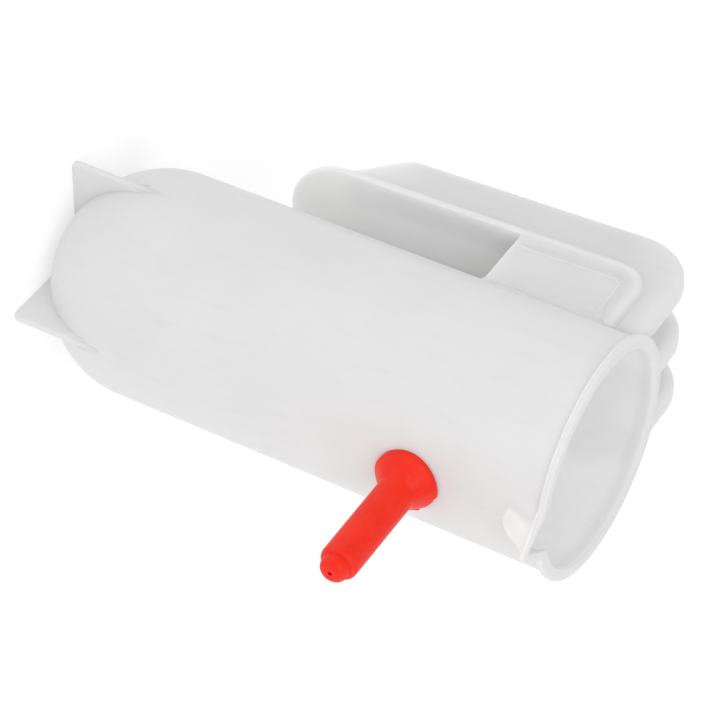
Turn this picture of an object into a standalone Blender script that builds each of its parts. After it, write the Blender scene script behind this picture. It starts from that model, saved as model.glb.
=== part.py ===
"""Hanging milk feeder for one lamb or kid: a tall round-bottomed vessel on four fins, a ribbed hook
moulded on its back, a pouring spout, and a rubber teat with its valve.

The vessel stands mouth up on the plane z = 0, with the teat towards -Y and the hook towards +Y. Every piece
is placed from the vessel's own axis, which an empty moves along Y, so that the origin is at the middle of the
whole feeder's base. Lengths are in metres."""

import math

import bmesh
import bpy

# Vessel
HEIGHT = 0.260
RADIUS = 0.0525
DRAFT = 0.005
WALL = 0.0024
DOME_TOP_Z = 0.0446
DOME_DEPTH = 0.0483
DOME_CLEARANCE = 0.0005
DOME_FLATNESS = 0.0015
RIM_REACH = 0.0022
RIM_HEIGHT = 0.0028
RIM_INNER_RADIUS = 0.0489
RIM_TAPER = 0.0030
TURN_STEPS = 80

# Pouring spout
SPOUT_HALF_ANGLE = math.radians(14.5)
SPOUT_TIP = 0.0691
SPOUT_ROOT = 0.0060
SPOUT_DEPTH = 0.0186
SPOUT_LIP = 0.0014
SPOUT_SLANT = 1.6

# Fins that the vessel stands on
FIN_COUNT = 4
FIN_THICKNESS = 0.0030
FIN_INNER_RADIUS = 0.0200
FIN_TOP_Z = 0.052
FIN_CORNER = 0.0020
FIN_BEVEL = 0.0005

# Hook: a bent sheet, box ribs on its back, and webs between it and the vessel
SHEET_HALF_WIDTH = 0.0391
SHEET_THICKNESS = 0.0036
SHEET_FOOT_Z = 0.0709
SHEET_FOOT_Y = 0.0652
SHEET_LEAN = 0.040
SHEET_ROOF_Z = 0.2391
SHEET_BEND = 0.0098
SHEET_CORNER = 0.0270
HOOK_ROOT_Y = 0.0300
TRIM_DEPTH = 0.0600
RIB_PITCH = 0.0304
RIB_WIDTH = 0.0132
RIB_TOP_Z = 0.2558
RIB_CORNER = 0.0255
RIB_BACK_Y = 0.1002
RIB_BACK_LEAN = 0.055
RIB_FOOT_Z = 0.1205
RIB_ROUNDING = 0.0050
RIB_WALL = 0.0024
RIB_OVERRUN = 0.0400
RIB_HOLLOW_CUT = 0.0100
WEB_THICKNESS = 0.0040
WEB_FOOT_Z = 0.1820

# Clearance between pieces, small edge cut, and how far a cutter runs past a face
GAP = 0.0003
CHAMFER = 0.0006
CUT_MARGIN = 0.0100

# Teat
TEAT_Z = 0.1964
TEAT_TIP_Y = -0.1152
TEAT_RADIUS = 0.0084
TEAT_ROUNDING = 0.0026
TEAT_NUB_RADIUS = 0.0062
TEAT_NUB_LENGTH = 0.0052
TEAT_NUB_ROUNDING = 0.0035
TEAT_FLANGE_RADIUS = 0.0146
TEAT_FLANGE_THICKNESS = 0.0016
TEAT_CONE_LENGTH = 0.0085
TEAT_CONE_ROUNDING = 0.0010
TEAT_NECK_RADIUS = 0.0094
TEAT_NECK_END = RADIUS - WALL - 0.0030
TEAT_BORE = 0.0046
TEAT_BORE_END = 0.0120
MILK_HOLE = 0.0010
MILK_HOLE_LENGTH = 0.0060
WALL_HOLE_RADIUS = 0.0098

# Valve: spigot, shoulder and stub along -Y, upright chamber, ball, and cap with a hose nipple
SPIGOT_END = 0.0560
SPIGOT_RADIUS = 0.0043
SPIGOT_BORE = 0.0027
SPIGOT_TAPER = 0.0012
SHOULDER_FRONT = 0.0467
SHOULDER_THICKNESS = 0.0020
SHOULDER_RADIUS = 0.0130
STUB_RADIUS = 0.0055
CHAMBER_Y = -0.0340
CHAMBER_RADIUS = 0.0085
CHAMBER_BORE = 0.0058
CHAMBER_WALL = 0.0027
CHAMBER_TOP_Z = TEAT_Z + 0.0085
CHAMBER_FOOT_Z = TEAT_Z - 0.0130
BALL_RADIUS = 0.0040
CAP_RADIUS = 0.0102
CAP_BORE = 0.0026
CAP_SKIRT = 0.0060
CAP_FLOOR = 0.0022
CAP_FLOOR_Z = CHAMBER_FOOT_Z - GAP
NIPPLE_RADIUS = 0.0040
NIPPLE_NECK = 0.0050
NIPPLE_BARBS = 3
NIPPLE_BARB_PITCH = 0.0040
NIPPLE_BARB_HEIGHT = 0.0007

COLOURS = {
    "vessel": ((0.86, 0.87, 0.87, 1.0), 0.32),
    "teat": ((0.86, 0.035, 0.012, 1.0), 0.45),
    "seal_washer": ((0.05, 0.05, 0.05, 1.0), 0.60),
    "valve_body": ((0.80, 0.81, 0.82, 1.0), 0.35),
    "valve_ball": ((0.75, 0.76, 0.78, 1.0), 0.25),
    "valve_cap": ((0.80, 0.81, 0.82, 1.0), 0.35),
}


def clear_scene():
    for obj in list(bpy.data.objects):
        bpy.data.objects.remove(obj, do_unlink=True)


def new_collection(name):
    collection = bpy.data.collections.new(name)
    bpy.context.scene.collection.children.link(collection)
    return collection


def material(name):
    colour, roughness = COLOURS[name]
    made = bpy.data.materials.new(name)
    made.use_nodes = True
    shader = made.node_tree.nodes["Principled BSDF"]
    shader.inputs["Base Color"].default_value = colour
    shader.inputs["Roughness"].default_value = roughness
    shader.inputs["Metallic"].default_value = 0.0
    return made


def place(obj, collection):
    """Puts an object in a collection and under the empty on the vessel's axis."""
    for old in list(obj.users_collection):
        old.objects.unlink(obj)
    collection.objects.link(obj)
    obj.parent = AXIS
    if collection is not PARTS:
        obj.hide_render = True
        obj.display_type = "WIRE"
    return obj


def turned(name, profile, collection, steps=TURN_STEPS):
    """A profile of (radius, z) points turned about Z. It ends on the axis at both ends, or is a ring whose
    last point repeats its first."""
    mesh = bpy.data.meshes.new(name)
    edges = [(i, i + 1) for i in range(len(profile) - 1)]
    if profile[0] == profile[-1]:
        profile = profile[:-1]
        edges[-1] = (len(profile) - 1, 0)
    mesh.from_pydata([(radius, 0, z) for radius, z in profile], edges, [])
    obj = bpy.data.objects.new(name, mesh)
    screw = obj.modifiers.new("Turn", "SCREW")
    screw.steps = steps
    screw.render_steps = steps
    screw.use_merge_vertices = True
    screw.merge_threshold = 0.00001
    return place(obj, collection)


def flat_body(name, outline, thickness):
    """A bmesh of a flat outline of (y, z) points, thickness thick along X and centred on x = 0."""
    curve = bpy.data.curves.new(name, "CURVE")
    curve.dimensions = "2D"
    curve.fill_mode = "BOTH"
    curve.extrude = thickness / 2
    spline = curve.splines.new("POLY")
    spline.points.add(len(outline) - 1)
    for point, (y, z) in zip(spline.points, outline):
        point.co = (y, z, 0, 1)
    spline.use_cyclic_u = True
    flat = bpy.data.objects.new(name, curve)
    bpy.context.scene.collection.objects.link(flat)
    mesh = bpy.data.meshes.new_from_object(flat.evaluated_get(bpy.context.evaluated_depsgraph_get()))
    bpy.data.objects.remove(flat)
    body = bmesh.new()
    body.from_mesh(mesh)
    bmesh.ops.remove_doubles(body, verts=body.verts, dist=0.00001)
    for vert in body.verts:
        y, z, x = vert.co
        vert.co = (x, y, z)
    bmesh.ops.recalc_face_normals(body, faces=body.faces)
    return body


def outline_edges(body):
    """The edges of a flat body that run along its outline."""
    return [edge for edge in body.edges if edge.calc_face_angle(0) > math.radians(60)
            and edge.verts[0].co.x * edge.verts[1].co.x > 0]


def finish_body(name, body, collection):
    mesh = bpy.data.meshes.new(name)
    body.to_mesh(mesh)
    body.free()
    return place(bpy.data.objects.new(name, mesh), collection)


def plate(name, outline, thickness, collection, bevel=0.0):
    """A flat plate in the Y-Z plane, with its outline's edges rounded by bevel."""
    body = flat_body(name, outline, thickness)
    if bevel:
        bmesh.ops.bevel(body, geom=outline_edges(body), offset=bevel, segments=2, profile=0.5, affect="EDGES")
    return finish_body(name, body, collection)


def hull(name, points, collection):
    """The convex body around a few corner points."""
    body = bmesh.new()
    verts = [body.verts.new(point) for point in points]
    bmesh.ops.convex_hull(body, input=verts)
    bmesh.ops.recalc_face_normals(body, faces=body.faces)
    return finish_body(name, body, collection)


def boolean(obj, operation, collection):
    modifier = obj.modifiers.new(operation.title(), "BOOLEAN")
    modifier.operation = operation
    modifier.operand_type = "COLLECTION"
    modifier.collection = collection
    modifier.solver = "EXACT"


def arc(centre, radius, start, end, steps):
    """Points (y, z) on an arc, its angles in degrees from +Y towards +Z."""
    angles = [math.radians(start + (end - start) * i / steps) for i in range(steps + 1)]
    return [(centre[0] + radius * math.cos(a), centre[1] + radius * math.sin(a)) for a in angles]


def bar(radius, top, foot):
    """The profile of a plain round bar."""
    return [(0, top), (radius, top), (radius, foot), (0, foot)]


def outer_radius(z):
    return RADIUS - DRAFT * (HEIGHT - z)


def dome(offset, steps):
    """The dome's profile from its equator to the axis, offset inwards. Its middle is pressed nearly flat,
    clear of the plane of the feet."""
    top_radius = outer_radius(DOME_TOP_Z) - offset
    depth = DOME_DEPTH - offset
    floor = DOME_CLEARANCE + offset
    points = []
    for i in range(1, steps + 1):
        angle = math.pi / 2 * i / steps
        round_z = DOME_TOP_Z - depth * math.sin(angle) - floor
        z = floor + 0.5 * (round_z + math.hypot(round_z, DOME_FLATNESS))
        points.append((top_radius * math.cos(angle) if i < steps else 0.0, z))
    return points


def vessel_outside(extra=0.0):
    """The turned outside of the vessel, grown by extra."""
    lip_z = HEIGHT - RIM_HEIGHT
    rim = RADIUS + RIM_REACH
    top = [(0, HEIGHT), (rim - CHAMFER, HEIGHT), (rim, HEIGHT - CHAMFER)]
    under_lip = [(rim, lip_z + CHAMFER), (outer_radius(lip_z) + extra, lip_z - CHAMFER)]
    side = [(outer_radius(DOME_TOP_Z) + extra, DOME_TOP_Z)]
    return top + under_lip + side + dome(-extra, 14)


def vessel_inside():
    """The turned bore, open above the rim."""
    lip_z = HEIGHT - RIM_HEIGHT
    above = HEIGHT + CUT_MARGIN
    mouth = [(0, above), (RIM_INNER_RADIUS, above), (RIM_INNER_RADIUS, lip_z)]
    side = [(outer_radius(lip_z) - WALL, lip_z - RIM_TAPER), (outer_radius(DOME_TOP_Z) - WALL, DOME_TOP_Z)]
    return mouth + side + dome(WALL, 12)


def spout_points(grow, top, low):
    """Corners of the V-shaped spout between the heights top and low, with its sides moved out by grow."""
    half_width = RADIUS * math.sin(SPOUT_HALF_ANGLE) + grow
    wall_y = -RADIUS * math.cos(SPOUT_HALF_ANGLE)
    tip_growth = SPOUT_SLANT * grow
    corners = []
    for z, tip in ((top, SPOUT_TIP + tip_growth), (low, RADIUS + tip_growth)):
        corners += [(side * half_width, y, z) for side in (-1, 1) for y in (wall_y, wall_y + SPOUT_ROOT)]
        corners.append((0, -tip, z))
    return corners


def add_spout(added, cut):
    hull("spout_beak", spout_points(0, HEIGHT, HEIGHT - SPOUT_DEPTH), added)
    lip = [point for point in spout_points(SPOUT_LIP, HEIGHT, HEIGHT - SPOUT_DEPTH) if point[2] == HEIGHT]
    hull("spout_lip", lip + [(x, y, z - RIM_HEIGHT) for x, y, z in lip], added)
    over = WALL * 0.8
    hull("spout_hollow", spout_points(-WALL * 0.9, HEIGHT + over, HEIGHT - SPOUT_DEPTH + over), cut)


def fin_outline():
    """A radial fin between the dome and the line of the cylinder's side, with its foot at z = 0."""
    dome_side = [(r, z) for r, z in dome(WALL / 2, 20) if r > FIN_INNER_RADIUS]
    tip_radius = outer_radius(0)
    corner = arc((tip_radius - FIN_CORNER, FIN_CORNER), FIN_CORNER, -90, 0, 4)
    side = outer_radius(FIN_TOP_Z)
    top = [(side - GAP, FIN_TOP_Z), (side - WALL / 2, FIN_TOP_Z)]
    return [(FIN_INNER_RADIUS, 0)] + corner + top + dome_side + [(FIN_INNER_RADIUS, WALL / 2)]


def add_fins(added):
    for i in range(FIN_COUNT):
        fin = plate(f"fin_{i}", fin_outline(), FIN_THICKNESS, added, bevel=FIN_BEVEL)
        fin.rotation_euler.z = 2 * math.pi * i / FIN_COUNT


def sheet_y(z):
    """The y of the sheet's face that looks at the vessel."""
    return SHEET_FOOT_Y + SHEET_LEAN * (z - SHEET_FOOT_Z)


def bent_line(offset, foot_z, root_y):
    """The hook's bent line, offset outwards from the face that looks at the vessel: up the tongue, round
    the bend and along the roof to root_y."""
    bend_z = SHEET_ROOF_Z - SHEET_BEND
    centre = (sheet_y(bend_z) - SHEET_BEND, bend_z)
    bend = arc(centre, SHEET_BEND + offset, 0, 90, 8)
    return [(sheet_y(foot_z) + offset, foot_z)] + bend + [(root_y, SHEET_ROOF_Z + offset)]


def sheet_front_outline():
    """The tongue seen from the front, as (x, z): square at the top, with two round corners at its foot."""
    side = SHEET_HALF_WIDTH
    foot = SHEET_FOOT_Z
    left = arc((-side + SHEET_CORNER, foot + SHEET_CORNER), SHEET_CORNER, 180, 270, 10)
    right = arc((side - SHEET_CORNER, foot + SHEET_CORNER), SHEET_CORNER, 270, 360, 10)
    return [(-side, HEIGHT)] + left + right + [(side, HEIGHT)]


def add_sheet(added, trims):
    foot = SHEET_FOOT_Z - CUT_MARGIN
    inner = bent_line(0, foot, HOOK_ROOT_Y)
    outer = bent_line(SHEET_THICKNESS, foot, HOOK_ROOT_Y)
    sheet = plate("hook_sheet", inner + outer[::-1], 2 * (SHEET_HALF_WIDTH + CUT_MARGIN), added)
    front = plate("sheet_front", sheet_front_outline(), 2 * TRIM_DEPTH, trims)
    front.rotation_euler.z = math.pi / 2
    front.location.y = TRIM_DEPTH
    trim = sheet.modifiers.new("Round corners", "BOOLEAN")
    trim.operation = "INTERSECT"
    trim.object = front
    trim.solver = "EXACT"


def rib_back_y(z):
    return RIB_BACK_Y - RIB_BACK_LEAN * (RIB_TOP_Z - RIB_CORNER - z)


def behind_sheet(point):
    """Whether a point of a rib's outline lies on its back or its top."""
    behind = point.y > sheet_y(point.z) + 2 * SHEET_THICKNESS
    return behind or point.z > SHEET_ROOF_Z + 2 * SHEET_THICKNESS


def rounded_rib(name, outline, width, rounding, foot_y, collection):
    """A plate with its back and top rounded over, cut off at 45 degrees through foot_y at the ribs' foot."""
    body = flat_body(name, outline, width)
    back = [edge for edge in outline_edges(body) if all(behind_sheet(vert.co) for vert in edge.verts)]
    bmesh.ops.bevel(body, geom=back, offset=rounding, segments=4, profile=0.5, affect="EDGES")
    everything = body.verts[:] + body.edges[:] + body.faces[:]
    bmesh.ops.bisect_plane(body, geom=everything, plane_co=(0, foot_y, RIB_FOOT_Z), plane_no=(0, 1, -1),
                           clear_outer=True)
    bmesh.ops.holes_fill(body, edges=[edge for edge in body.edges if edge.is_boundary])
    bmesh.ops.recalc_face_normals(body, faces=body.faces)
    return finish_body(name, body, collection)


def rib_outline():
    """A rib seen from the side, from its top over its back to the middle of the sheet."""
    corner = arc((RIB_BACK_Y - RIB_CORNER, RIB_TOP_Z - RIB_CORNER), RIB_CORNER, 90, 0, 10)
    low_z = RIB_FOOT_Z - RIB_OVERRUN
    back = [(rib_back_y(low_z), low_z)]
    return [(HOOK_ROOT_Y, RIB_TOP_Z)] + corner + back + bent_line(SHEET_THICKNESS / 2, low_z, HOOK_ROOT_Y)


def rib_hollow_outline():
    """The hollow of a rib, open at its foot."""
    top_z = SHEET_ROOF_Z - SHEET_BEND
    low_z = RIB_FOOT_Z - RIB_OVERRUN
    front = [(sheet_y(z) + SHEET_THICKNESS, z) for z in (low_z, top_z)]
    return front + [(rib_back_y(z) - RIB_WALL, z) for z in (top_z, low_z)]


def add_ribs(added, cut):
    foot_y = rib_back_y(RIB_FOOT_Z)
    hollow_width = RIB_WIDTH - 2 * RIB_WALL
    for i, x in enumerate((-RIB_PITCH, 0, RIB_PITCH)):
        rib = rounded_rib(f"rib_{i}", rib_outline(), RIB_WIDTH, RIB_ROUNDING, foot_y, added)
        rib.location.x = x
        hollow = rounded_rib(f"rib_hollow_{i}", rib_hollow_outline(), hollow_width,
                             RIB_ROUNDING - RIB_WALL, foot_y + RIB_HOLLOW_CUT, cut)
        hollow.location.x = x


def add_webs(added):
    """Flat webs under the hook's roof. Their feet are what a rail bears on."""
    middle = SHEET_THICKNESS / 2
    outline = [(HOOK_ROOT_Y, WEB_FOOT_Z)] + bent_line(middle, WEB_FOOT_Z, HOOK_ROOT_Y)
    outer_x = RIB_PITCH + RIB_WIDTH / 2 - WEB_THICKNESS / 2
    for i, x in enumerate((-outer_x, 0, outer_x)):
        plate(f"web_{i}", outline, WEB_THICKNESS, added).location.x = x


def along_y(obj, z):
    """Lays a piece turned about Z along -Y at the height z."""
    obj.rotation_euler.x = math.pi / 2
    obj.location.z = z
    return obj


def make_vessel():
    added = new_collection("vessel_added")
    cut = new_collection("vessel_cut")
    trims = new_collection("vessel_trims")
    vessel = turned("vessel", vessel_outside(), PARTS)
    add_spout(added, cut)
    add_fins(added)
    add_sheet(added, trims)
    add_ribs(added, cut)
    add_webs(added)
    turned("bore", vessel_inside(), cut)
    hole = bar(WALL_HOLE_RADIUS, RADIUS + CUT_MARGIN, RADIUS - CUT_MARGIN)
    along_y(turned("teat_hole", hole, cut, 40), TEAT_Z)
    boolean(vessel, "UNION", added)
    boolean(vessel, "DIFFERENCE", cut)
    return vessel


def make_teat():
    """The teat, turned about Z with its tip up and laid along -Y: a stepped round tip, a straight shaft,
    a cone on a thin flange that follows the vessel's wall, and a neck through the wall."""
    tip = -TEAT_TIP_Y
    shoulder = tip - TEAT_NUB_LENGTH
    flange_front = RADIUS + TEAT_FLANGE_THICKNESS
    cone_top = RADIUS + TEAT_CONE_LENGTH
    nub_corner = TEAT_NUB_RADIUS - TEAT_NUB_ROUNDING, tip - TEAT_NUB_ROUNDING
    step_corner = TEAT_RADIUS - TEAT_ROUNDING, shoulder - TEAT_ROUNDING
    nub = arc(nub_corner, TEAT_NUB_ROUNDING, 90, 0, 5) + [(TEAT_NUB_RADIUS, shoulder)]
    outside = [(MILK_HOLE, tip)] + nub + arc(step_corner, TEAT_ROUNDING, 90, 0, 4)
    outside += [(TEAT_RADIUS, cone_top + TEAT_CONE_ROUNDING),
                (TEAT_RADIUS + TEAT_CONE_ROUNDING, cone_top - TEAT_CONE_ROUNDING),
                (TEAT_FLANGE_RADIUS - CHAMFER, flange_front), (TEAT_FLANGE_RADIUS, flange_front - CHAMFER)]
    bore = [(TEAT_FLANGE_RADIUS, TEAT_NECK_END), (TEAT_BORE, TEAT_NECK_END),
            (TEAT_BORE, tip - TEAT_BORE_END), (MILK_HOLE, tip - MILK_HOLE_LENGTH), (MILK_HOLE, tip)]
    teat = turned("teat", outside + bore, PARTS, 48)
    cut = new_collection("teat_cut")
    around_neck = new_collection("around_neck")
    wall = turned("wall_space", [(0, HEIGHT)] + vessel_outside(GAP)[4:], cut)
    neck = turned("neck_space", bar(TEAT_NECK_RADIUS, RADIUS + CUT_MARGIN, 0), around_neck, 48)
    along_y(neck, TEAT_Z)
    boolean(wall, "DIFFERENCE", around_neck)
    along_y(teat, TEAT_Z)
    boolean(teat, "DIFFERENCE", cut)
    return teat


def make_seal_washer():
    """A rubber ring around the teat's neck, its outer face cut to follow the bore."""
    kept = new_collection("washer_kept")
    inner = TEAT_NECK_RADIUS + GAP
    back = SHOULDER_FRONT + GAP
    profile = [(inner, RADIUS), (SHOULDER_RADIUS, RADIUS), (SHOULDER_RADIUS, back), (inner, back),
               (inner, RADIUS)]
    washer = along_y(turned("seal_washer", profile, PARTS, 40), TEAT_Z)
    inside = outer_radius(TEAT_Z) - WALL - 1.5 * GAP
    turned("bore_space", bar(inside, HEIGHT, DOME_TOP_Z), kept)
    boolean(washer, "INTERSECT", kept)
    return washer


def make_valve_body():
    """An elbow: a spigot that fills the teat's bore, a shoulder, and an upright chamber open at its foot."""
    added = new_collection("valve_added")
    cut = new_collection("valve_cut")
    back = SHOULDER_FRONT - SHOULDER_THICKNESS
    spigot = [(0, SPIGOT_END), (SPIGOT_RADIUS - CHAMFER, SPIGOT_END),
              (SPIGOT_RADIUS, SPIGOT_END - SPIGOT_TAPER), (SPIGOT_RADIUS, SHOULDER_FRONT)]
    shoulder = [(SHOULDER_RADIUS, SHOULDER_FRONT), (SHOULDER_RADIUS, back)]
    stub = [(STUB_RADIUS, back), (STUB_RADIUS, -CHAMBER_Y), (0, -CHAMBER_Y)]
    body = along_y(turned("valve_body", spigot + shoulder + stub, PARTS, 40), TEAT_Z)
    chamber = [(0, CHAMBER_TOP_Z), (CHAMBER_RADIUS - CHAMFER, CHAMBER_TOP_Z),
               (CHAMBER_RADIUS, CHAMBER_TOP_Z - CHAMFER), (CHAMBER_RADIUS, CHAMBER_FOOT_Z),
               (0, CHAMBER_FOOT_Z)]
    turned("chamber", chamber, added, 40).location.y = CHAMBER_Y
    hollow = bar(CHAMBER_BORE, CHAMBER_TOP_Z - CHAMBER_WALL, CHAMBER_FOOT_Z - CUT_MARGIN)
    turned("chamber_hollow", hollow, cut, 32).location.y = CHAMBER_Y
    along_y(turned("channel", bar(SPIGOT_BORE, SPIGOT_END + CUT_MARGIN, -CHAMBER_Y), cut, 32), TEAT_Z)
    boolean(body, "UNION", added)
    boolean(body, "DIFFERENCE", cut)
    return body


def make_valve_ball():
    """The ball, resting just above the seat in the cap's floor."""
    bpy.ops.mesh.primitive_uv_sphere_add(segments=32, ring_count=16, radius=BALL_RADIUS)
    ball = bpy.context.active_object
    ball.name = "valve_ball"
    seat_rise = math.sqrt(BALL_RADIUS**2 - CAP_BORE**2)
    ball.location = (0, CHAMBER_Y, CAP_FLOOR_Z + seat_rise + GAP)
    return place(ball, PARTS)


def make_valve_cap():
    """The cap over the chamber's foot, with the seat in its floor and a barbed nipple for a hose below.
    Its profile is turned about the chamber's axis."""
    inner = CHAMBER_RADIUS + GAP
    skirt_top = CHAMBER_FOOT_Z + CAP_SKIRT
    underside = CAP_FLOOR_Z - CAP_FLOOR
    profile = [(inner, skirt_top), (CAP_RADIUS - CHAMFER, skirt_top), (CAP_RADIUS, skirt_top - CHAMFER),
               (CAP_RADIUS, underside + CHAMFER), (CAP_RADIUS - CHAMFER, underside),
               (NIPPLE_RADIUS, underside)]
    for i in range(NIPPLE_BARBS):
        barb_z = underside - NIPPLE_NECK - i * NIPPLE_BARB_PITCH
        profile += [(NIPPLE_RADIUS, barb_z), (NIPPLE_RADIUS + NIPPLE_BARB_HEIGHT, barb_z),
                    (NIPPLE_RADIUS, barb_z - NIPPLE_BARB_PITCH + CHAMFER)]
    nipple_end = underside - NIPPLE_NECK - NIPPLE_BARBS * NIPPLE_BARB_PITCH - CHAMFER
    profile += [(NIPPLE_RADIUS - CHAMFER, nipple_end), (CAP_BORE, nipple_end), (CAP_BORE, CAP_FLOOR_Z),
                (inner, CAP_FLOOR_Z), (inner, skirt_top)]
    cap = turned("valve_cap", profile, PARTS, 40)
    cap.location.y = CHAMBER_Y
    return cap


def finish(obj):
    obj.data.materials.clear()
    obj.data.materials.append(material(obj.name))
    obj.data.shade_smooth()


clear_scene()
PARTS = new_collection("lamb_feeder")
AXIS = bpy.data.objects.new("vessel_axis", None)
AXIS.location.y = -(TEAT_TIP_Y + RIB_BACK_Y) / 2
PARTS.objects.link(AXIS)
for make in (make_vessel, make_teat, make_seal_washer, make_valve_body, make_valve_ball, make_valve_cap):
    finish(make())
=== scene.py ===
import math
from bisect import bisect_left

import bmesh
import bpy
from mathutils import Matrix, Vector


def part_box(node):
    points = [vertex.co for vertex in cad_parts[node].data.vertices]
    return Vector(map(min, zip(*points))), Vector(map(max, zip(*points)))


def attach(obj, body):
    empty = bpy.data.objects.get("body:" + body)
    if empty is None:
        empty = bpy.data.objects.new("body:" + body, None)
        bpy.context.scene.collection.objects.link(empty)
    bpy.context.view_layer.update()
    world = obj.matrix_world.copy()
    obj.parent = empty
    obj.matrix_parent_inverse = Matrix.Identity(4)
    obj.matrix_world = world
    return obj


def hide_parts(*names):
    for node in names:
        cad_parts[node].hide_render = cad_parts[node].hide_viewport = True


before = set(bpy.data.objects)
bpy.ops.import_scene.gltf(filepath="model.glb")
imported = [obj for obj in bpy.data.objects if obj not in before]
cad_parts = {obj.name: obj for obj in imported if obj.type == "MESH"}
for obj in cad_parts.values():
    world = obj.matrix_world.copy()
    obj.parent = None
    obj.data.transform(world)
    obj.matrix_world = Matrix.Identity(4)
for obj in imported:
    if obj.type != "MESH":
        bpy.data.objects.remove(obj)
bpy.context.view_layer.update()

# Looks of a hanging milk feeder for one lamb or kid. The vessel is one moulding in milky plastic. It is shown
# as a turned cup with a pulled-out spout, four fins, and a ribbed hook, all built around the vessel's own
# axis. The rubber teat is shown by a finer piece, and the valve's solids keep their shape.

# Places read from the frame
VESSEL_LOW, VESSEL_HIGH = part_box("vessel")
TEAT_LOW, TEAT_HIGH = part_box("teat")
TEAT_REACH = 0.1152
AXIS_Y = TEAT_LOW.y + TEAT_REACH
HEIGHT = VESSEL_HIGH.z
TEAT_Z = (TEAT_LOW.z + TEAT_HIGH.z) / 2

# Vessel
RIM_REACH = 0.0022
RADIUS = VESSEL_HIGH.x - RIM_REACH
DRAFT = 0.005
WALL = 0.0024
DOME_TOP_Z = 0.0446
DOME_DEPTH = 0.0483
DOME_CLEARANCE = 0.0005
DOME_FLATNESS = 0.0015
RIM_HEIGHT = 0.0028
RIM_INNER_RADIUS = 0.0489
RIM_TAPER = 0.0030
RIM_ROUNDING = 0.0011
INNER_ROUNDING = 0.0006
LIP_ROWS = 3
WALL_STEP = 0.006
LIP_STEP = 0.0012
DOME_STEPS = 36
BOWL_STEPS = 24
HOLE_STEPS = 48
WALL_HOLE_RADIUS = 0.0098
COLUMN_ANGLE = math.radians(1.5)
FINE_COLUMN_ANGLE = math.radians(0.5)
FINE_HALF_ANGLE = math.radians(18)

# Pouring spout
SPOUT_HALF_ANGLE = math.radians(14.5)
SPOUT_TIP = 0.0691
SPOUT_DEPTH = 0.0186
SPOUT_SOFTNESS = math.radians(0.8)
SOFTENING = ((-2, 1), (-1, 4), (0, 6), (1, 4), (2, 1))

# Fins
FIN_COUNT = 4
FIN_THICKNESS = 0.0030
FIN_START_ANGLE = math.radians(24)
FIN_END_ANGLE = math.radians(89)
FIN_CORNER = 0.0024
FIN_EDGE = 0.0008
FIN_FLARE = 0.0016
FIN_FLARE_LENGTH = 0.0016
FIN_STEPS = 60
FIN_ACROSS = (0, 0.04, 0.09, 0.15, 0.22, 0.3, 0.45, 0.6, 0.75, 0.9)
FIN_EDGE_SHARE = 0.4
FIN_EDGE_TURNS = (0, 30, 60, 80)
FIN_SHARP_ANGLE = 50

# Hook
SHEET_HALF_WIDTH = 0.0391
SHEET_THICKNESS = 0.0036
SHEET_EDGE = 0.0011
SHEET_FOOT_Z = 0.0709
SHEET_FOOT_Y = 0.0652
SHEET_LEAN = 0.040
SHEET_ROOF_Z = 0.2391
SHEET_BEND = 0.0098
SHEET_CORNER = 0.0270
HOOK_ROOT_Y = 0.0300
RIB_PITCH = 0.0304
RIB_WIDTH = 0.0132
RIB_TOP_Z = 0.2558
RIB_CORNER = 0.0255
RIB_BACK_Y = 0.1002
RIB_BACK_LEAN = 0.055
RIB_FOOT_Z = 0.1205
RIB_ROUNDING = 0.0050
RIB_WALL = 0.0024
RIB_OVERRUN = 0.0400
RIB_HOLLOW_CUT = 0.0100
WEB_THICKNESS = 0.0040
WEB_FOOT_Z = 0.1820
WEB_EDGE = 0.0007
FRAME_WIDTH = 0.0052
FRAME_RISE = 0.0016
BEAD_WIDTH = 0.0014
BEAD_RISE = 0.00045
SKIRT_WIDTH = 0.0026
STRIP_SINK = 0.0002
ROOT_FILLET = 0.0130

# Teat
TEAT_RADIUS = 0.0084
TEAT_ROUNDING = 0.0026
TEAT_NUB_RADIUS = 0.0062
TEAT_NUB_LENGTH = 0.0052
TEAT_NUB_ROUNDING = 0.0035
NUB_GROOVE = 0.0005
SHAFT_MARGIN = 0.002
SHAFT_STEP = 0.004
CONE_ROUNDING = 0.003
CONE_LIFT = 0.001
FLANGE_EDGE = 0.0004
TEAT_FLANGE_RADIUS = 0.0146
TEAT_FLANGE_THICKNESS = 0.0014
TEAT_CONE_LENGTH = 0.0088
TEAT_NECK_RADIUS = 0.0094
TEAT_NECK_END = 0.0471
TEAT_BORE = 0.0046
TEAT_BORE_END = 0.0120
MILK_HOLE = 0.0010
MILK_HOLE_LENGTH = 0.0060
NICK_START = math.radians(10)
NICK_END = math.radians(62)
NICK_DEPTH = 0.0009
GAP = 0.0003
CUT_MARGIN = 0.0100
CRACK = 0.000002
WELD = 0.00001

# Painted light: the cup's inside and the hook glow, standing in for light that comes through the thin walls
# and lifting the hook's shade
CUP_PAINTED_GLOW = 0.13
HOOK_PAINTED_GLOW = 0.09

# Camera: where it looks, and how it is turned
CAMERA_AIM = Vector((-0.0144, -0.0046, 0.1507))
CAMERA_DISTANCE = 1.5
CAMERA_AZIMUTH = math.radians(-46.0)
CAMERA_ELEVATION = math.radians(21.3)
CAMERA_ROLL = math.radians(111.65)
CAMERA_LENS = 178.0

# Studio, in metres and watts
FLOOR_SIZE = 6.0
FLOOR_CELLS = 8
FLOOR_GLOW = 0.45
WORLD_STRENGTH = 0.80
LIGHT_AIM = (0, 0, 0.12)
KEY_PLACE = (-0.9, -0.9, 1.5)
KEY_SIZE = 1.2
KEY_POWER = 9.0
FILL_PLACE = (1.4, -0.5, 0.9)
FILL_SIZE = 1.4
FILL_POWER = 4.0


# ---------------------------------------------------------------- shapes

def new_object(name, mesh):
    obj = bpy.data.objects.new(name, mesh)
    bpy.context.scene.collection.objects.link(obj)
    return obj


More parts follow.
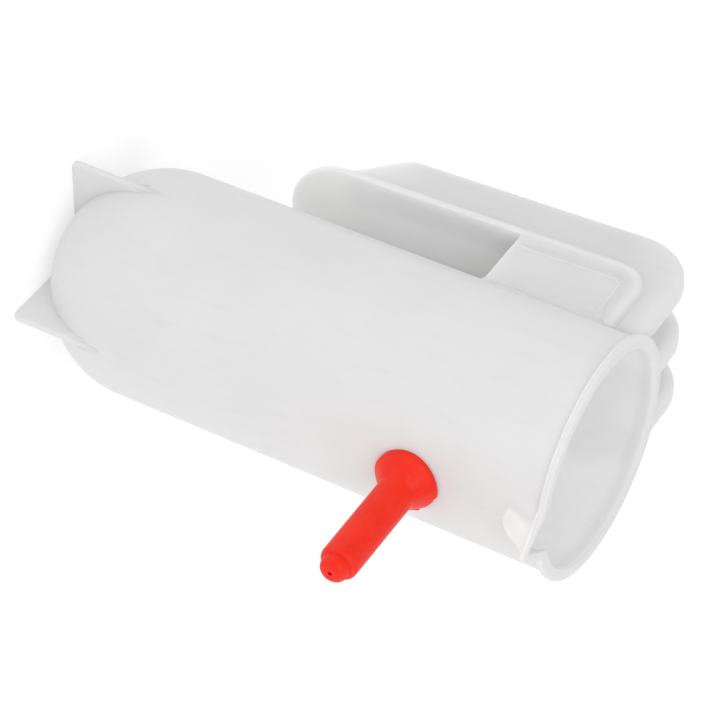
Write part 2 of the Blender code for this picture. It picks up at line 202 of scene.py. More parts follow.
def mesh_object(name, body):
    """An object from a bmesh, with its faces turned outwards."""
    bmesh.ops.recalc_face_normals(body, faces=body.faces)
    if body.calc_volume(signed=True) < 0:
        bmesh.ops.reverse_faces(body, faces=body.faces)
    mesh = bpy.data.meshes.new(name)
    body.to_mesh(mesh)
    body.free()
    return new_object(name, mesh)


def arc(centre, radius, start, end, steps):
    """Points on an arc, its angles in degrees from the first axis towards the second."""
    angles = [math.radians(start + (end - start) * i / steps) for i in range(steps + 1)]
    return [(centre[0] + radius * math.cos(a), centre[1] + radius * math.sin(a)) for a in angles]


def evenly(start, end, step):
    """Numbers from start up to but not including end, about step apart."""
    count = max(1, round(abs(end - start) / step))
    return [start + (end - start) * i / count for i in range(count)]


def lathe(profile, angles, push=None):
    """A bmesh of (radius, z) points turned about Z. Points on the axis become one vertex, and push gives how
    far a point moves outwards for its angle and height."""
    body = bmesh.new()
    rings = []
    for radius, z in profile:
        if radius == 0:
            rings.append([body.verts.new((0, 0, z))])
            continue
        ring = []
        for angle in angles:
            r = radius + (push(angle, z) if push else 0)
            ring.append(body.verts.new((r * math.sin(angle), -r * math.cos(angle), z)))
        rings.append(ring)
    for low, high in zip(rings, rings[1:] + rings[:1]):
        if len(low) == 1 and len(high) == 1:
            continue
        for i in range(len(angles)):
            j = (i + 1) % len(angles)
            corners = [low[i % len(low)], low[j % len(low)], high[j % len(high)], high[i % len(high)]]
            body.faces.new(list(dict.fromkeys(corners)))
    return body


def turns(step):
    return evenly(-math.pi, math.pi, step)


def boolean(obj, operation, other):
    """Applies a Boolean with one other object, which is then removed, and closes the finest cracks."""
    modifier = obj.modifiers.new(operation, "BOOLEAN")
    modifier.operation = operation
    modifier.object = other
    modifier.solver = "EXACT"
    modifier.use_self = True
    depsgraph = bpy.context.evaluated_depsgraph_get()
    mesh = bpy.data.meshes.new_from_object(obj.evaluated_get(depsgraph))
    body = bmesh.new()
    body.from_mesh(mesh)
    bmesh.ops.remove_doubles(body, verts=body.verts, dist=CRACK)
    bmesh.ops.dissolve_degenerate(body, edges=body.edges, dist=CRACK)
    body.to_mesh(mesh)
    body.free()
    obj.modifiers.clear()
    obj.data = mesh
    bpy.data.objects.remove(other)
    return obj


def only_verts(geometry):
    return [item for item in geometry if isinstance(item, bmesh.types.BMVert)]


def prism(outline, half_width, rounding=0.0, segments=3, rounded=None):
    """A bmesh of a flat (y, z) outline, half_width each way along X, with its outline's edges rounded."""
    body = bmesh.new()
    face = body.faces.new([body.verts.new((-half_width, y, z)) for y, z in outline])
    moved = bmesh.ops.extrude_face_region(body, geom=[face])["geom"]
    bmesh.ops.translate(body, vec=(2 * half_width, 0, 0), verts=only_verts(moved))
    bmesh.ops.recalc_face_normals(body, faces=body.faces)
    if rounding:
        rim = [edge for edge in body.edges if edge.verts[0].co.x * edge.verts[1].co.x > 0]
        if rounded:
            rim = [edge for edge in rim if all(rounded(vert.co) for vert in edge.verts)]
        bmesh.ops.bevel(body, geom=rim, offset=rounding, segments=segments, profile=0.5, affect="EDGES")
    return body


def smooth(obj, angle=35):
    obj.data.shade_smooth()
    obj.data.set_sharp_from_angle(angle=math.radians(angle))
    return obj


def settle(obj, name_of_material):
    """Moves a piece from the vessel's axis to its place and gives it its material."""
    obj.data.transform(Matrix.Translation((0, AXIS_Y, 0)))
    obj.data.materials.clear()
    obj.data.materials.append(MATERIALS[name_of_material])
    return obj


# ---------------------------------------------------------------- vessel

def outer_radius(z):
    return RADIUS - DRAFT * (HEIGHT - z)


def dome(offset, steps):
    """The dome's profile from its equator to the axis, offset inwards, with its middle pressed flatter."""
    top_radius = outer_radius(DOME_TOP_Z) - offset
    floor = DOME_CLEARANCE + offset
    points = []
    for i in range(1, steps + 1):
        angle = math.pi / 2 * i / steps
        round_z = DOME_TOP_Z - (DOME_DEPTH - offset) * math.sin(angle) - floor
        z = floor + 0.5 * (round_z + math.hypot(round_z, DOME_FLATNESS))
        points.append((top_radius * math.cos(angle) if i < steps else 0, z))
    return points


def spout_reach(angle, z):
    """How far the sharp V of the spout stands out of the wall at an angle from -Y."""
    rise = (z - (HEIGHT - SPOUT_DEPTH)) / SPOUT_DEPTH
    if rise <= 0 or abs(angle) >= SPOUT_HALF_ANGLE:
        return 0.0
    tip = RADIUS + (SPOUT_TIP - RADIUS) * min(rise, 1)
    corner_x = RADIUS * math.sin(SPOUT_HALF_ANGLE)
    corner_y = RADIUS * math.cos(SPOUT_HALF_ANGLE)
    run = corner_x * math.cos(angle) + (tip - corner_y) * math.sin(abs(angle))
    return max(0.0, tip * corner_x / run - RADIUS)


def soft_spout(angle, z):
    """The spout's reach with its creases rounded."""
    total = sum(weight for _, weight in SOFTENING)
    return sum(weight * spout_reach(angle + k * SPOUT_SOFTNESS, z) for k, weight in SOFTENING) / total


def cup_angles():
    """Columns round the cup, closer together at the spout."""
    fine = evenly(-FINE_HALF_ANGLE, FINE_HALF_ANGLE, FINE_COLUMN_ANGLE)
    return fine + evenly(FINE_HALF_ANGLE, 2 * math.pi - FINE_HALF_ANGLE, COLUMN_ANGLE)


def cup_profile():
    """The cup's wall from the middle of its floor, up the outside, over the rim and down the bore."""
    lip_z = HEIGHT - RIM_HEIGHT
    rim = RADIUS + RIM_REACH
    spout_foot = HEIGHT - SPOUT_DEPTH
    below = evenly(DOME_TOP_Z, spout_foot, WALL_STEP)
    beside = evenly(spout_foot, lip_z - RIM_HEIGHT / 2, LIP_STEP)
    outside = dome(0, DOME_STEPS)[::-1] + [(outer_radius(z), z) for z in below + beside]
    root = arc((outer_radius(lip_z) + RIM_ROUNDING, lip_z - RIM_ROUNDING), RIM_ROUNDING, 180, 90, 4)
    under = arc((rim - INNER_ROUNDING, lip_z + INNER_ROUNDING), INNER_ROUNDING, -90, 0, 3)
    over = arc((rim - RIM_ROUNDING, HEIGHT - RIM_ROUNDING), RIM_ROUNDING, 0, 90, 5)
    inner = arc((RIM_INNER_RADIUS + INNER_ROUNDING, HEIGHT - INNER_ROUNDING), INNER_ROUNDING, 90, 180, 4)
    bore = [(RIM_INNER_RADIUS, lip_z), (outer_radius(lip_z) - WALL, lip_z - RIM_TAPER)]
    bore += [(outer_radius(z) - WALL, z) for z in beside[:-LIP_ROWS][::-1] + below[::-1]]
    return outside + root + under + over + inner + bore + dome(WALL, BOWL_STEPS)


def make_cup():
    cup = mesh_object("vessel_cup", lathe(cup_profile(), cup_angles(), soft_spout))
    drill = prism(arc((0, TEAT_Z), WALL_HOLE_RADIUS, 0, 360, HOLE_STEPS)[:-1], CUT_MARGIN)
    hole = mesh_object("teat_hole", drill)
    hole.data.transform(Matrix.Translation((0, -RADIUS, 0)) @ Matrix.Rotation(math.pi / 2, 4, "Z"))
    boolean(cup, "DIFFERENCE", hole)
    return settle(smooth(cup), "milky_cup")


def fin_end(angle):
    """Where a ray from the dome's centre, at an angle from straight down, meets the fin's outline."""
    foot = DOME_TOP_Z * math.tan(angle)
    corner = outer_radius(0)
    if foot <= corner:
        return foot, 0.0
    return outer_radius(DOME_TOP_Z), DOME_TOP_Z - outer_radius(DOME_TOP_Z) / math.tan(angle)


def fin_row(angle):
    """From the fin's root in the dome's wall out to its free edge: (point, half thickness) pairs."""
    root = Vector(((outer_radius(DOME_TOP_Z) - WALL / 2) * math.sin(angle),
                   DOME_TOP_Z - (DOME_DEPTH - WALL / 2) * math.cos(angle) + DOME_CLEARANCE))
    end = Vector(fin_end(angle))
    corner = Vector((outer_radius(0) - FIN_CORNER, FIN_CORNER))
    if end.x > corner.x and end.y < corner.y:
        end = corner + (end - corner).normalized() * min(FIN_CORNER, (end - corner).length)
    length = (end - root).length
    edge = min(FIN_EDGE, FIN_EDGE_SHARE * length)
    outward = (end - root).normalized()
    row = []
    for t in FIN_ACROSS:
        point = root.lerp(end - outward * edge, t)
        off_wall = max(0.0, (point - root).length - WALL / 2)
        row.append((point, FIN_THICKNESS / 2 + FIN_FLARE * math.exp(-off_wall / FIN_FLARE_LENGTH)))
    for turn in map(math.radians, FIN_EDGE_TURNS):
        point = end + outward * (edge * math.sin(turn) - edge)
        row.append((point, FIN_THICKNESS / 2 - edge * (1 - math.cos(turn))))
    return row


def bridge(body, first, second):
    """Faces between two rows of vertices of the same length."""
    for j in range(len(first) - 1):
        body.faces.new((first[j], first[j + 1], second[j + 1], second[j]))


def make_fin(index):
    """A thin radial plate between the dome and the line of the cup's side. It flares where it meets the dome,
    and its free edges are round."""
    spread = FIN_END_ANGLE - FIN_START_ANGLE
    rows = [fin_row(FIN_START_ANGLE + spread * i / FIN_STEPS) for i in range(FIN_STEPS + 1)]
    body = bmesh.new()
    sides = []
    for side in (-1, 1):
        sides.append([[body.verts.new((side * half, p.x, p.y)) for p, half in row] for row in rows])
    for grid in sides:
        for a, b in zip(grid, grid[1:]):
            bridge(body, a, b)
    left, right = sides
    for column in (0, -1):
        bridge(body, [row[column] for row in left], [row[column] for row in right])
    for end in (0, -1):
        bridge(body, left[end], right[end])
    fin = mesh_object(f"vessel_fin_{index}", body)
    fin.data.transform(Matrix.Rotation(2 * math.pi * index / FIN_COUNT, 4, "Z"))
    return settle(smooth(fin, FIN_SHARP_ANGLE), "milky_fin")


# ---------------------------------------------------------------- hook

def sheet_y(z):
    """The y of the sheet's face that looks at the vessel."""
    return SHEET_FOOT_Y + SHEET_LEAN * (z - SHEET_FOOT_Z)


def bent_path(foot_z, root_y, bend_steps=14):
    """The face of the sheet that looks at the vessel: (point, outward normal) up the tongue, round the bend
    and along the roof, as (y, z)."""
    bend_z = SHEET_ROOF_Z - SHEET_BEND
    centre = Vector((sheet_y(bend_z) - SHEET_BEND, bend_z))
    path = [(Vector((sheet_y(foot_z), foot_z)), Vector((1, 0)))]
    for i in range(bend_steps + 1):
        angle = math.pi / 2 * i / bend_steps
        normal = Vector((math.cos(angle), math.sin(angle)))
        path.append((centre + normal * SHEET_BEND, normal))
    path.append((Vector((root_y, SHEET_ROOF_Z)), Vector((0, 1))))
    return path


def bent_line(offset, foot_z, root_y):
    return [tuple(point + normal * offset) for point, normal in bent_path(foot_z, root_y)]


def make_sheet():
    """The bent sheet: a flat outline with round edges, cut across into strips and folded along its path."""
    curve = bpy.data.curves.new("hook_sheet", "CURVE")
    curve.dimensions = "2D"
    curve.fill_mode = "BOTH"
    curve.extrude = SHEET_THICKNESS / 2 - SHEET_EDGE
    curve.bevel_depth = SHEET_EDGE
    curve.bevel_resolution = 3
    middle = [point + normal * SHEET_THICKNESS / 2 for point, normal in bent_path(SHEET_FOOT_Z, HOOK_ROOT_Y)]
    normals = [normal for _, normal in bent_path(SHEET_FOOT_Z, HOOK_ROOT_Y)]
    reach = [0.0]
    for a, b in zip(middle, middle[1:]):
        reach.append(reach[-1] + (b - a).length)
    side = SHEET_HALF_WIDTH - SHEET_EDGE
    corner = SHEET_CORNER - SHEET_EDGE
    foot = SHEET_EDGE
    left = arc((-side + corner, foot + corner), corner, 180, 270, 20)
    right = arc((side - corner, foot + corner), corner, 270, 360, 20)
    outline = [(-side, reach[-1])] + left + right + [(side, reach[-1])]
    spline = curve.splines.new("POLY")
    spline.points.add(len(outline) - 1)
    for point, (x, s) in zip(spline.points, outline):
        point.co = (x, s, 0, 1)
    spline.use_cyclic_u = True
    flat = new_object("hook_flat", curve)
    depsgraph = bpy.context.evaluated_depsgraph_get()
    mesh = bpy.data.meshes.new_from_object(flat.evaluated_get(depsgraph))
    bpy.data.objects.remove(flat)
    body = bmesh.new()
    body.from_mesh(mesh)
    bmesh.ops.remove_doubles(body, verts=body.verts, dist=WELD)
    for cut in evenly(foot, reach[1], WALL_STEP) + reach[1:-1] + evenly(reach[-2], reach[-1], WALL_STEP)[1:]:
        bmesh.ops.bisect_plane(body, geom=body.verts[:] + body.edges[:] + body.faces[:],
                               plane_co=(0, cut, 0), plane_no=(0, 1, 0))
    for vert in body.verts:
        x, s, depth = vert.co
        i = min(max(bisect_left(reach, s) - 1, 0), len(reach) - 2)
        t = (s - reach[i]) / (reach[i + 1] - reach[i])
        normal = normals[i].lerp(normals[i + 1], min(max(t, 0), 1)).normalized()
        point = middle[i].lerp(middle[i + 1], t) + normal * depth
        vert.co = (x, point.x, point.y)
    return mesh_object("vessel_hook", body)


def rib_back_y(z):
    return RIB_BACK_Y - RIB_BACK_LEAN * (RIB_TOP_Z - RIB_CORNER - z)


def behind_sheet(point):
    """Whether a point of a rib's outline lies on its back or its top."""
    behind = point.y > sheet_y(point.z) + 2 * SHEET_THICKNESS
    return behind or point.z > SHEET_ROOF_Z + 2 * SHEET_THICKNESS


def rounded_rib(outline, width, rounding, foot_y):
    """A plate with its back and top rounded over, cut off at 45 degrees at the ribs' foot."""
    body = prism(outline, width / 2, rounding, 8, behind_sheet)
    bmesh.ops.bisect_plane(body, geom=body.verts[:] + body.edges[:] + body.faces[:],
                           plane_co=(0, foot_y, RIB_FOOT_Z), plane_no=(0, 1, -1), clear_outer=True)
    bmesh.ops.holes_fill(body, edges=[edge for edge in body.edges if edge.is_boundary])
    return body


def make_rib(x):
    """A hollow rib, open at its foot."""
    low_z = RIB_FOOT_Z - RIB_OVERRUN
    corner = arc((RIB_BACK_Y - RIB_CORNER, RIB_TOP_Z - RIB_CORNER), RIB_CORNER, 90, 0, 24)
    outline = [(HOOK_ROOT_Y, RIB_TOP_Z)] + corner + [(rib_back_y(low_z), low_z)]
    outline += bent_line(SHEET_THICKNESS / 2, low_z, HOOK_ROOT_Y)
    foot_y = rib_back_y(RIB_FOOT_Z)
    rib = mesh_object("rib", rounded_rib(outline, RIB_WIDTH, RIB_ROUNDING, foot_y))
    top_z = SHEET_ROOF_Z - SHEET_BEND
    hollow = [(sheet_y(z) + SHEET_THICKNESS, z) for z in (low_z, top_z)]
    hollow += [(rib_back_y(z) - RIB_WALL, z) for z in (top_z, low_z)]
    space = mesh_object("rib_hollow", rounded_rib(hollow, RIB_WIDTH - 2 * RIB_WALL, RIB_ROUNDING - RIB_WALL,
                                                  foot_y + RIB_HOLLOW_CUT))
    boolean(rib, "DIFFERENCE", space)
    rib.data.transform(Matrix.Translation((x, 0, 0)))
    return rib


def make_web(x):
    """A flat web under the roof. Its foot is what a rail bears on."""
    middle = SHEET_THICKNESS / 2
    outline = [(HOOK_ROOT_Y, WEB_FOOT_Z)] + bent_line(middle, WEB_FOOT_Z, HOOK_ROOT_Y)
    body = prism(outline, WEB_THICKNESS / 2, WEB_EDGE, 3, lambda p: p.z < WEB_FOOT_Z + GAP)
    web = mesh_object("web", body)
    web.data.transform(Matrix.Translation((x, 0, 0)))
    return web


def swept(path, section, side):
    """A closed body: a section of (outward offset, x) points swept along a path of points and normals."""
    body = bmesh.new()
    rings = []
    for point, normal in path:
        ring = []
        for offset, x in section:
            place = point + normal * offset
            ring.append(body.verts.new((side * x, place.x, place.y)))
        rings.append(ring)
    count = len(section)
    for a, b in zip(rings, rings[1:]):
        for i in range(count):
            j = (i + 1) % count
            body.faces.new((a[i], a[j], b[j], b[i]))
    body.faces.new(rings[0])
    body.faces.new(rings[-1])
    return mesh_object("strip", body)


def make_strips():
    """On each side of the hook: a hollowed ramp from the web up to the sheet's edge, with a bead along its
    foot, and a narrower one from the edge down to the rib's flank. Both start just under the face that they
    rise from."""
    flank = RIB_PITCH + RIB_WIDTH / 2
    sunk = flank - STRIP_SINK
    core = flank - WEB_THICKNESS / 2
    steps = [i / 5 for i in range(6)]
    rise = FRAME_RISE + STRIP_SINK
    bead = [(-FRAME_WIDTH - BEAD_WIDTH * (1 - t), sunk + (STRIP_SINK + BEAD_RISE) * math.sin(math.pi * t))
            for t in steps[:-1]]
    ramp = [(FRAME_WIDTH * (t - 1), sunk + rise * t ** 2) for t in steps]
    ramp = bead + ramp + [(SHEET_EDGE, sunk + rise), (SHEET_EDGE, core), (-FRAME_WIDTH - BEAD_WIDTH, core)]
    skirt = [(SHEET_THICKNESS + SKIRT_WIDTH * t, sunk + rise * (1 - t) ** 2) for t in steps]
    skirt += [(SHEET_THICKNESS + SKIRT_WIDTH, core), (SHEET_THICKNESS - SHEET_EDGE, core),
              (SHEET_THICKNESS - SHEET_EDGE, sunk + rise)]
    rib_depth = rib_back_y(RIB_FOOT_Z) - sheet_y(RIB_FOOT_Z) - SHEET_THICKNESS
    skirt_foot = RIB_FOOT_Z - rib_depth + SKIRT_WIDTH
    root_y = HOOK_ROOT_Y + STRIP_SINK
    strips = []
    for side in (-1, 1):
        strips.append(swept(bent_path(WEB_FOOT_Z + WEB_EDGE, root_y), ramp, side))
        strips.append(swept(bent_path(skirt_foot, root_y), skirt, side))
    return strips


def make_root_fillets():
    """Upright fillets where the two outer webs leave the cup."""
    flank = RIB_PITCH + RIB_WIDTH / 2
    centre_x = flank + ROOT_FILLET
    centre = Vector((centre_x, math.sqrt((RADIUS + ROOT_FILLET) ** 2 - centre_x ** 2)))
    to_cup = math.degrees(math.atan2(-centre.y, -centre.x))
    curve = arc(centre, ROOT_FILLET, 180, 360 + to_cup, 10)
    inside = [(RADIUS - WALL / 2) / RADIUS * c for c in curve[-1]]
    core = flank - WEB_THICKNESS / 3
    outline = [(x + STRIP_SINK, y) for x, y in curve] + [inside, (core, inside[1]), (core, centre.y)]
    bodies = []
    for side in (-1, 1):
        body = bmesh.new()
        face = body.faces.new([body.verts.new((side * x, y, WEB_FOOT_Z + WEB_EDGE)) for x, y in outline])
        moved = bmesh.ops.extrude_face_region(body, geom=[face])["geom"]
        bmesh.ops.translate(body, vec=(0, 0, SHEET_ROOF_Z - WEB_FOOT_Z), verts=only_verts(moved))
        bodies.append(mesh_object("root_fillet", body))
    return bodies


def make_hook():
    hook = make_sheet()
    outer_x = RIB_PITCH + RIB_WIDTH / 2 - WEB_THICKNESS / 2
    parts = [make_rib(x) for x in (-RIB_PITCH, 0, RIB_PITCH)]
    parts += [make_web(x) for x in (-outer_x, 0, outer_x)]
    for part in parts + make_strips() + make_root_fillets():
        boolean(hook, "UNION", part)
    wall_middle = [(0, HEIGHT + CUT_MARGIN), (outer_radius(HEIGHT) - WALL / 2, HEIGHT + CUT_MARGIN),
                   (outer_radius(DOME_TOP_Z) - WALL / 2, DOME_TOP_Z), (0, DOME_TOP_Z)]
    boolean(hook, "DIFFERENCE", mesh_object("wall_middle", lathe(wall_middle, turns(COLUMN_ANGLE))))
    return settle(smooth(hook), "milky_hook_painted_shade")


# ---------------------------------------------------------------- teat

def make_teat():
    """The teat, turned with its tip up and laid along -Y: a stepped round tip, a straight shaft, a cone on a
    thin flange that follows the cup, and a neck. The flange's rim is trimmed over a short arc."""
    tip = TEAT_REACH
    shoulder = tip - TEAT_NUB_LENGTH
    cone_top = RADIUS + TEAT_CONE_LENGTH
    flange = RADIUS + TEAT_FLANGE_THICKNESS
    nub = arc((TEAT_NUB_RADIUS - TEAT_NUB_ROUNDING, tip - TEAT_NUB_ROUNDING), TEAT_NUB_ROUNDING, 90, 0, 10)
    groove = arc((TEAT_NUB_RADIUS + NUB_GROOVE, shoulder + NUB_GROOVE), NUB_GROOVE, 180, 270, 3)
    step = arc((TEAT_RADIUS - TEAT_ROUNDING, shoulder - TEAT_ROUNDING), TEAT_ROUNDING, 80, 0, 8)
    shaft_top = shoulder - TEAT_ROUNDING - SHAFT_MARGIN
    shaft = [(TEAT_RADIUS, z) for z in evenly(shaft_top, cone_top + SHAFT_MARGIN, SHAFT_STEP)]
    root = arc((TEAT_RADIUS + CONE_ROUNDING, cone_top + CONE_LIFT), CONE_ROUNDING, 180, 225, 5)
    edge = arc((TEAT_FLANGE_RADIUS - FLANGE_EDGE, flange - FLANGE_EDGE), FLANGE_EDGE, 60, 0, 4)
    neck = [(TEAT_FLANGE_RADIUS, TEAT_NECK_END), (TEAT_BORE, TEAT_NECK_END), (TEAT_BORE, tip - TEAT_BORE_END),
            (MILK_HOLE, tip - MILK_HOLE_LENGTH), (MILK_HOLE, tip)]
    profile = nub + groove + step + shaft + root + edge + neck

    def nick(angle, z):
        trimmed = NICK_START < math.pi - abs(angle) < NICK_END and angle > 0
        return -NICK_DEPTH if trimmed and TEAT_NECK_END < z < flange else 0

    teat = mesh_object("teat_rubber", lathe(profile, turns(math.radians(2.5)), nick))
    inside = [(0, HEIGHT), (outer_radius(HEIGHT) + GAP, HEIGHT), (outer_radius(DOME_TOP_Z) + GAP, DOME_TOP_Z),
              (0, DOME_TOP_Z)]
    wall = mesh_object("wall_space", lathe(inside, turns(COLUMN_ANGLE)))
    bar = [(0, RADIUS + CUT_MARGIN), (TEAT_NECK_RADIUS, RADIUS + CUT_MARGIN), (TEAT_NECK_RADIUS, 0), (0, 0)]
    neck_space = mesh_object("neck_space", lathe(bar, turns(math.radians(5))))
    lay = Matrix.Translation((0, 0, TEAT_Z)) @ Matrix.Rotation(math.pi / 2, 4, "X")
    for obj in (teat, neck_space):
        obj.data.transform(lay)
    boolean(wall, "DIFFERENCE", neck_space)
    boolean(teat, "DIFFERENCE", wall)
    return settle(smooth(teat), "red_rubber")


# ---------------------------------------------------------------- materials

WHITE = (1.0, 1.0, 1.0, 1)


def grey(value):
    return (value, value, value, 1)


class Nodes:
    """A material's node tree, with short calls for the nodes that it uses."""

    def __init__(self, name, roughness, **inputs):
        self.material = bpy.data.materials.new(name)
        self.material.use_nodes = True
        self.tree = self.material.node_tree
        self.shader = self.tree.nodes["Principled BSDF"]
        self.shader.inputs["Roughness"].default_value = roughness
        for key, value in inputs.items():
            self.shader.inputs[key.replace("_", " ")].default_value = value
        self.place = self.add("ShaderNodeTexCoord").outputs["Object"]

    def add(self, kind, **settings):
        node = self.tree.nodes.new(kind)
        for key, value in settings.items():
            setattr(node, key, value)
        return node

    def link(self, source, target):
        self.tree.links.new(source, target)

    def noise(self, scale, detail=3.0, stretch=(1, 1, 1)):
        mapping = self.add("ShaderNodeMapping")
        mapping.inputs["Scale"].default_value = stretch
        self.link(self.place, mapping.inputs["Vector"])
        node = self.add("ShaderNodeTexNoise")
        node.inputs["Scale"].default_value = scale
        node.inputs["Detail"].default_value = detail
        self.link(mapping.outputs["Vector"], node.inputs["Vector"])
        return node.outputs["Fac"]

    def ramp(self, source, stops):
        node = self.add("ShaderNodeValToRGB")
        while len(node.color_ramp.elements) < len(stops):
            node.color_ramp.elements.new(0.5)
        for element, (position, colour) in zip(node.color_ramp.elements, stops):
            element.position = position
            element.color = colour
        self.link(source, node.inputs["Fac"])
        return node.outputs["Color"]

    def range(self, source, low, high, from_low=0.3, from_high=0.7):
        node = self.add("ShaderNodeMapRange")
        limits = {"From Min": from_low, "From Max": from_high, "To Min": low, "To Max": high}
        for key, value in limits.items():
            node.inputs[key].default_value = value
        self.link(source, node.inputs["Value"])
        return node.outputs["Result"]

    def mix(self, factor, first, second, blend="MIX"):
        node = self.add("ShaderNodeMix", data_type="RGBA", blend_type=blend)
        colour_inputs = [socket for socket in node.inputs if socket.type == "RGBA"]
        if isinstance(factor, float):
            node.inputs["Factor"].default_value = factor
        else:
            self.link(factor, node.inputs["Factor"])
        for value, socket in zip((first, second), colour_inputs):
            if isinstance(value, tuple):
                socket.default_value = value
            else:
                self.link(value, socket)
        return [socket for socket in node.outputs if socket.type == "RGBA"][0]

    def bump(self, heights):
        """Chains one Bump node for each (height, strength, distance)."""
        normal = None
        for height, strength, distance in heights:
            node = self.add("ShaderNodeBump")
            node.inputs["Strength"].default_value = strength
            node.inputs["Distance"].default_value = distance
            self.link(height, node.inputs["Height"])
            if normal:
                self.link(normal, node.inputs["Normal"])
            normal = node.outputs["Normal"]
        self.link(normal, self.shader.inputs["Normal"])


def milky_plastic(name, depth, share, dark, light, glow):
    """Satin polypropylene: cloudy tone between dark and light, faint flow marks along the moulding, fine
    scuffs and a soft skin. Depth is how far light spreads in it, and share is how much of the light does.
    Glow is painted light: an emission that stands in for the daylight that comes through the thin walls."""
    m = Nodes(name, 0.4, IOR=1.49, Subsurface_Weight=share, Subsurface_Scale=depth, Specular_IOR_Level=0.4,
              Subsurface_Radius=(1.0, 0.98, 0.95), Emission_Color=WHITE, Emission_Strength=glow)
    clouds = m.noise(22.0, 4.0)
    flow = m.noise(30.0, 3.0, (1.0, 1.0, 0.12))
    scuffs = m.noise(260.0, 6.0, (1.0, 1.0, 0.25))
    tone = m.ramp(clouds, [(0.30, grey(dark)), (0.72, grey(light))])
    streaks = m.ramp(flow, [(0.35, (0.982, 0.982, 0.984, 1)), (0.65, WHITE)])
    worn = m.ramp(scuffs, [(0.55, WHITE), (0.78, (0.97, 0.97, 0.968, 1))])
    colour = m.mix(1.0, m.mix(1.0, tone, streaks, "MULTIPLY"), worn, "MULTIPLY")
    m.link(colour, m.shader.inputs["Base Color"])
    m.link(m.range(scuffs, 0.36, 0.52), m.shader.inputs["Roughness"])
    m.bump([(m.noise(45.0, 2.0), 0.18, 0.0006), (m.noise(900.0, 2.0), 0.10, 0.0001)])
    return m


def lit_inside(m, glow):
    """Painted light: lets only the cup's inner face glow, the one whose normal points towards the cup's
    middle.
    """
    from_middle = m.add("ShaderNodeVectorMath", operation="SUBTRACT")
    from_middle.inputs[1].default_value = (0.0, AXIS_Y, DOME_TOP_Z)
    m.link(m.place, from_middle.inputs[0])
    outward = m.add("ShaderNodeVectorMath", operation="DOT_PRODUCT")
    m.link(from_middle.outputs["Vector"], outward.inputs[0])
    m.link(m.add("ShaderNodeTexCoord").outputs["Normal"], outward.inputs[1])
    strength = m.range(outward.outputs["Value"], glow, 0.0, -RADIUS / 2, 0.0)
    m.link(strength, m.shader.inputs["Emission Strength"])
    return m


def red_rubber():
    """Moulded natural rubber: warm red, cloudier and duller in patches, with a fine matt skin."""
    m = Nodes("red_rubber", 0.45, IOR=1.52, Subsurface_Weight=0.20, Subsurface_Scale=0.003,
              Subsurface_Radius=(1.0, 0.22, 0.08), Specular_IOR_Level=0.24)
    clouds = m.noise(90.0, 4.0)
    dust = m.noise(700.0, 5.0)
    tone = m.ramp(clouds, [(0.30, (0.80, 0.011, 0.001, 1)), (0.70, (0.86, 0.025, 0.004, 1))])
    bloom = m.ramp(dust, [(0.58, grey(0.0)), (0.80, WHITE)])
    m.link(m.mix(bloom, tone, (0.86, 0.050, 0.025, 1)), m.shader.inputs["Base Color"])
    m.link(m.range(clouds, 0.38, 0.50), m.shader.inputs["Roughness"])
    m.bump([(m.noise(160.0, 3.0), 0.15, 0.0004), (m.noise(1800.0, 2.0), 0.12, 0.0001)])
    return m.material


def moulded(name, low, high, roughness, bump):
    """A small moulded part: two close tones, uneven gloss and a fine skin."""
    m = Nodes(name, roughness, IOR=1.5)
    clouds = m.noise(180.0, 4.0)
    m.link(m.ramp(clouds, [(0.30, low), (0.70, high)]), m.shader.inputs["Base Color"])
    m.link(m.range(m.noise(500.0, 4.0), roughness - 0.07, roughness + 0.09), m.shader.inputs["Roughness"])
    m.bump([(m.noise(1200.0, 3.0), bump, 0.0001)])
    return m.material


def floor_material():
    """A matt white sheet with a very faint tone, lit a little from below."""
    m = Nodes("floor", 0.9, Specular_IOR_Level=0.1, Emission_Color=WHITE, Emission_Strength=FLOOR_GLOW)
    m.link(m.ramp(m.noise(3.0, 2.0), [(0.3, grey(0.61)), (0.7, grey(0.63))]), m.shader.inputs["Base Color"])
    return m.material


# ---------------------------------------------------------------- stage

def make_floor():
    body = bmesh.new()
    bmesh.ops.create_grid(body, x_segments=FLOOR_CELLS, y_segments=FLOOR_CELLS, size=FLOOR_SIZE)
    floor = mesh_object("floor", body)
    floor.data.materials.append(MATERIALS["floor"])


def make_light(name, location, aim, size, power):
    data = bpy.data.lights.new(name, "AREA")
    data.shape = "DISK"
    data.size = size
    data.energy = power
    light = new_object(name, data)
    light.location = location
    light.rotation_euler = (Vector(aim) - Vector(location)).to_track_quat("-Z", "Y").to_euler()


def make_world(strength):
    world = bpy.data.worlds.new("studio")
    world.use_nodes = True
    background = world.node_tree.nodes["Background"]
    background.inputs["Color"].default_value = WHITE
    background.inputs["Strength"].default_value = strength
    bpy.context.scene.world = world


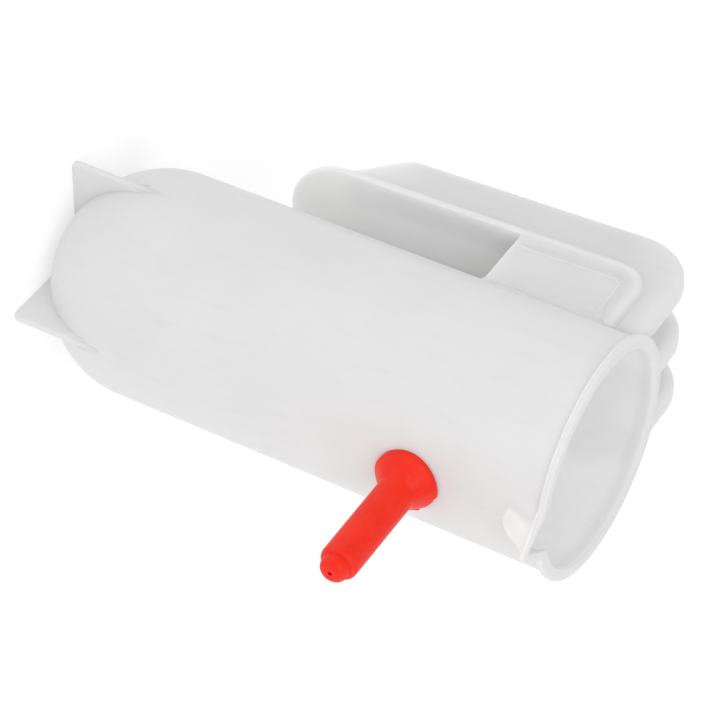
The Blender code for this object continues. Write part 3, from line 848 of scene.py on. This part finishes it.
def make_camera():
    """The camera on its arc round the aim point, rolled so that the vessel's axis lies across the picture."""
    back = Vector((math.sin(CAMERA_AZIMUTH) * math.cos(CAMERA_ELEVATION),
                   -math.cos(CAMERA_AZIMUTH) * math.cos(CAMERA_ELEVATION), math.sin(CAMERA_ELEVATION)))
    level = Vector((math.cos(CAMERA_AZIMUTH), math.sin(CAMERA_AZIMUTH), 0))
    upright = back.cross(level)
    right = level * math.cos(CAMERA_ROLL) + upright * math.sin(CAMERA_ROLL)
    up = back.cross(right)
    data = bpy.data.cameras.new("camera")
    data.lens = CAMERA_LENS
    data.clip_start = 0.01
    camera = new_object("camera", data)
    turn = Matrix((right, up, back)).transposed().to_4x4()
    camera.matrix_world = Matrix.Translation(CAMERA_AIM + back * CAMERA_DISTANCE) @ turn
    bpy.context.scene.camera = camera


# ---------------------------------------------------------------- assembly

MATERIALS = {
    # Painted light: the cup's inner face glows, standing in for light through its wall.
    "milky_cup": lit_inside(milky_plastic("milky_cup", 0.006, 0.35, 0.695, 0.723, 0.0), CUP_PAINTED_GLOW).material,
    # Painted shade: the fins are the cup's plastic, a shade darker.
    "milky_fin": milky_plastic("milky_fin", 0.006, 0.35, 0.690, 0.718, 0.0).material,
    # Painted shade and light: the hook is the cup's plastic with a darker tone, plus a painted glow that
    # lifts its shade.
    "milky_hook_painted_shade": milky_plastic("milky_hook_painted_shade", 0.015, 0.85, 0.585, 0.615, HOOK_PAINTED_GLOW).material,
    "red_rubber": red_rubber(),
    "dark_rubber": moulded("dark_rubber", (0.020, 0.020, 0.020, 1), (0.045, 0.044, 0.042, 1), 0.62, 0.25),
    "white_plastic": moulded("white_plastic", (0.72, 0.73, 0.74, 1), (0.80, 0.81, 0.82, 1), 0.38, 0.12),
    "ball_plastic": moulded("ball_plastic", (0.66, 0.67, 0.70, 1), (0.74, 0.75, 0.78, 1), 0.24, 0.05),
    "floor": floor_material(),
}
KEPT_NODES = {"seal_washer": "dark_rubber", "valve_body": "white_plastic", "valve_cap": "white_plastic",
              "valve_ball": "ball_plastic"}

make_camera()
cup = make_cup()
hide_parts("vessel")
for piece in [cup, make_hook()] + [make_fin(i) for i in range(FIN_COUNT)]:
    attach(piece, "vessel")
teat = make_teat()
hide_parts("teat")
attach(teat, "teat")
for node, material_name in KEPT_NODES.items():
    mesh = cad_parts[node].data
    for i in range(len(mesh.materials)):
        mesh.materials[i] = MATERIALS[material_name]

make_floor()
make_world(WORLD_STRENGTH)
make_light("key", KEY_PLACE, LIGHT_AIM, KEY_SIZE, KEY_POWER)
make_light("fill", FILL_PLACE, LIGHT_AIM, FILL_SIZE, FILL_POWER)
bpy.context.scene.view_settings.view_transform = "Standard"
